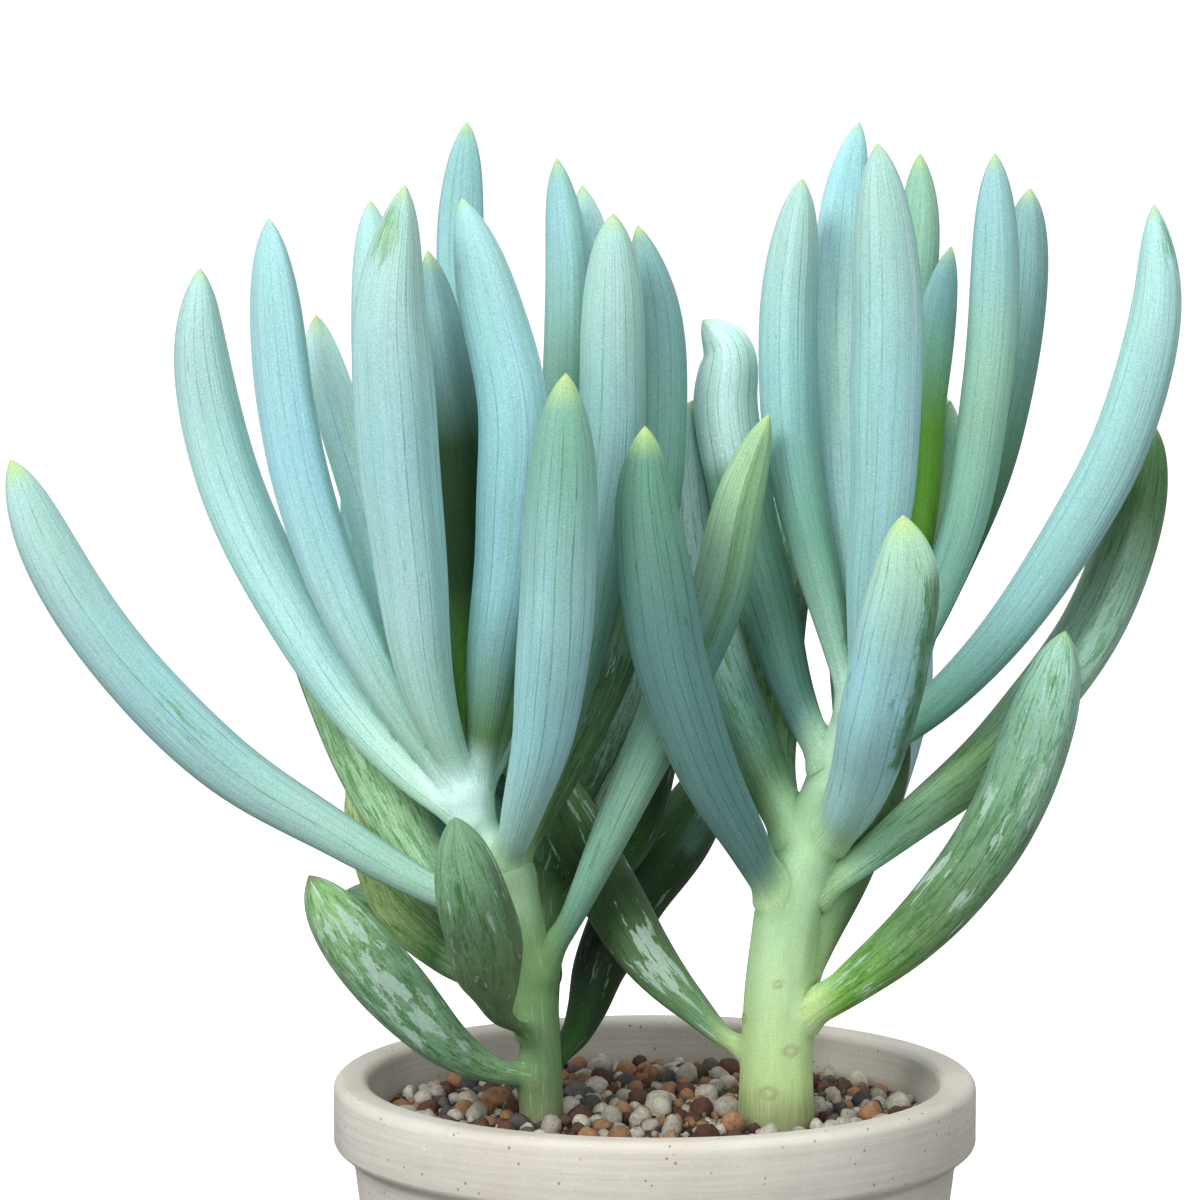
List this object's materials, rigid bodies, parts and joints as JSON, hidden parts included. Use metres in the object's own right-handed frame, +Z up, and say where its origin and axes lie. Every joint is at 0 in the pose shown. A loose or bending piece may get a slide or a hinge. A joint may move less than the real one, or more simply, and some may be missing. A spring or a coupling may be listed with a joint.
{
  "type": "potted succulent plant",
  "caption": "Blue-grey finger-leaved succulent with upright pencil-shaped leaves on short stems, in a plain tapered pot of gritty soil.",
  "frame": {"origin": "middle of the pot's flat base, on the surface that it stands on", "axes": "+Z up along the pot's axis, +X to the right as the plant is seen from its front, +Y away from that viewer"},
  "size_m": [0.1916, 0.116, 0.2572],
  "materials": {
    "pot": "matte pale stoneware, unglazed",
    "soil": "dark gritty cactus mix",
    "leafy_stem_left": "blue-green leaf skin under a chalky wax bloom",
    "leafy_stem_right": "blue-green leaf skin under a chalky wax bloom",
    "leafy_stem_back": "darker green leaf skin under a thin wax bloom"
  },
  "bodies": {
    "root": {"pot": "pot", "soil": "soil", "leafy_stem_left": "leafy_stem_left", "leafy_stem_right": "leafy_stem_right", "leafy_stem_back": "leafy_stem_back"}
  },
  "joints": []
}
